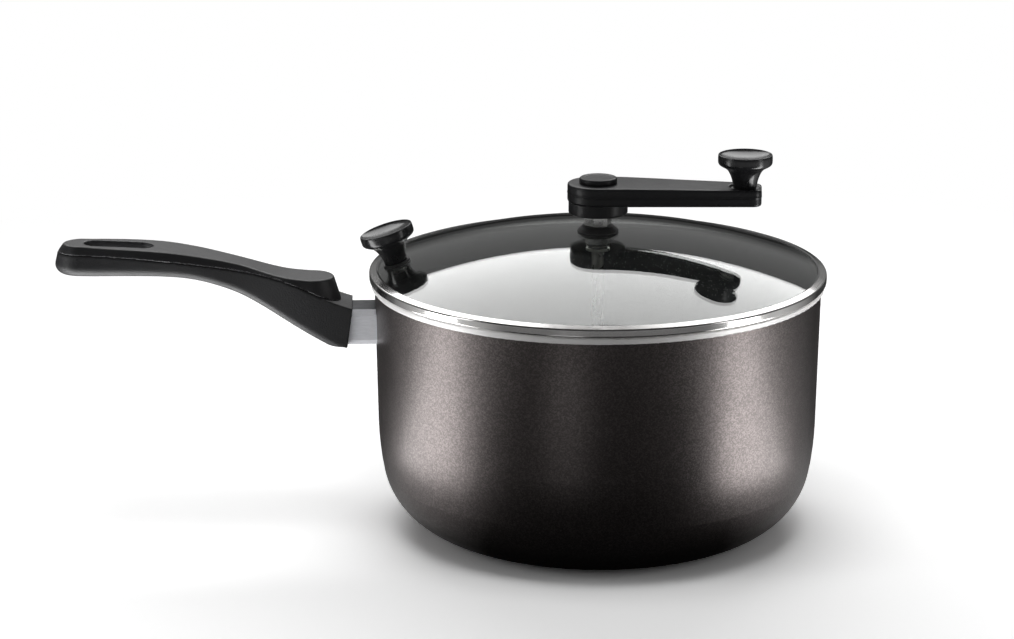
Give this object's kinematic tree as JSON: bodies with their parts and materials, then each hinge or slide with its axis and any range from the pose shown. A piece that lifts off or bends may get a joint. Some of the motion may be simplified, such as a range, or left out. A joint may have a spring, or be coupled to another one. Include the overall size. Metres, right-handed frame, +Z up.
{
  "type": "stovetop popcorn maker",
  "caption": "Long-handled pan with a domed glass lid; a hand crank through the lid turns a wire stirrer over the pan's floor to pop corn on a hob.",
  "frame": {"origin": "centre of the pan's base, on the surface it stands on", "axes": "+Z up along the pan's and the crank shaft's axis, handle towards -X, crank at rest nearly towards +X"},
  "size_m": [0.3849, 0.229, 0.192],
  "materials": {
    "pan_coating": "metallic graphite enamel outside, dark non-stick inside, bare polished lip",
    "bare_aluminium": "satin",
    "polished_aluminium": "polished",
    "grained_black": "fine grained matte",
    "satin_black": "satin",
    "zinc_steel": "zinc plated",
    "clear_glass": "clear tempered",
    "polished_steel": "polished stainless steel",
    "black_rubber": "smooth",
    "gloss_black": "semi-gloss",
    "plated_steel": "nickel plated",
    "stainless_rod": "drawn stainless steel",
    "white_nylon": "natural nylon",
    "moulded_black": "satin moulded"
  },
  "bodies": {
    "pan": {"pan_body": "pan_coating", "handle_bracket": "bare_aluminium", "flame_guard": "polished_aluminium", "handle_body": "grained_black", "handle_top_grip": "satin_black", "handle_screw": "zinc_steel"},
    "lid": {"lid_glass": "clear_glass", "lid_ring": "polished_steel", "lid_ring_seal": "black_rubber", "lid_knob": "gloss_black", "lid_knob_washer": "black_rubber", "lid_knob_inner_washer": "black_rubber", "lid_knob_screw": "zinc_steel", "shaft_bush": "plated_steel", "bush_gasket_upper": "black_rubber", "bush_gasket_lower": "black_rubber", "bush_nut": "plated_steel"},
    "crank": {"crank_shaft": "stainless_rod", "shaft_clip": "zinc_steel", "thrust_washer": "white_nylon", "crank_collar": "moulded_black", "crank_arm": "moulded_black", "crank_cap": "moulded_black", "crank_nut": "zinc_steel", "crank_nut_washer": "zinc_steel", "knob_spindle": "zinc_steel", "stirrer_hub": "stainless_rod", "stirrer_long_wire": "stainless_rod", "stirrer_short_wire": "stainless_rod", "stirrer_set_screw": "zinc_steel"},
    "knob": {"crank_knob": "gloss_black"}
  },
  "joints": [
    {"name": "lid_lift", "type": "slide", "parent": "pan", "child": "lid", "axis": [0, 0, 1], "range_m": [0, 0.16]},
    {"name": "crank_spin", "type": "hinge", "parent": "lid", "child": "crank", "pos_m": [0, 0, 0.1572], "axis": [0, 0, 1], "continuous": true},
    {"name": "knob_spin", "type": "hinge", "parent": "crank", "child": "knob", "pos_m": [0.07229, -0.00862, 0.1827], "axis": [0, 0, 1], "continuous": true}
  ]
}
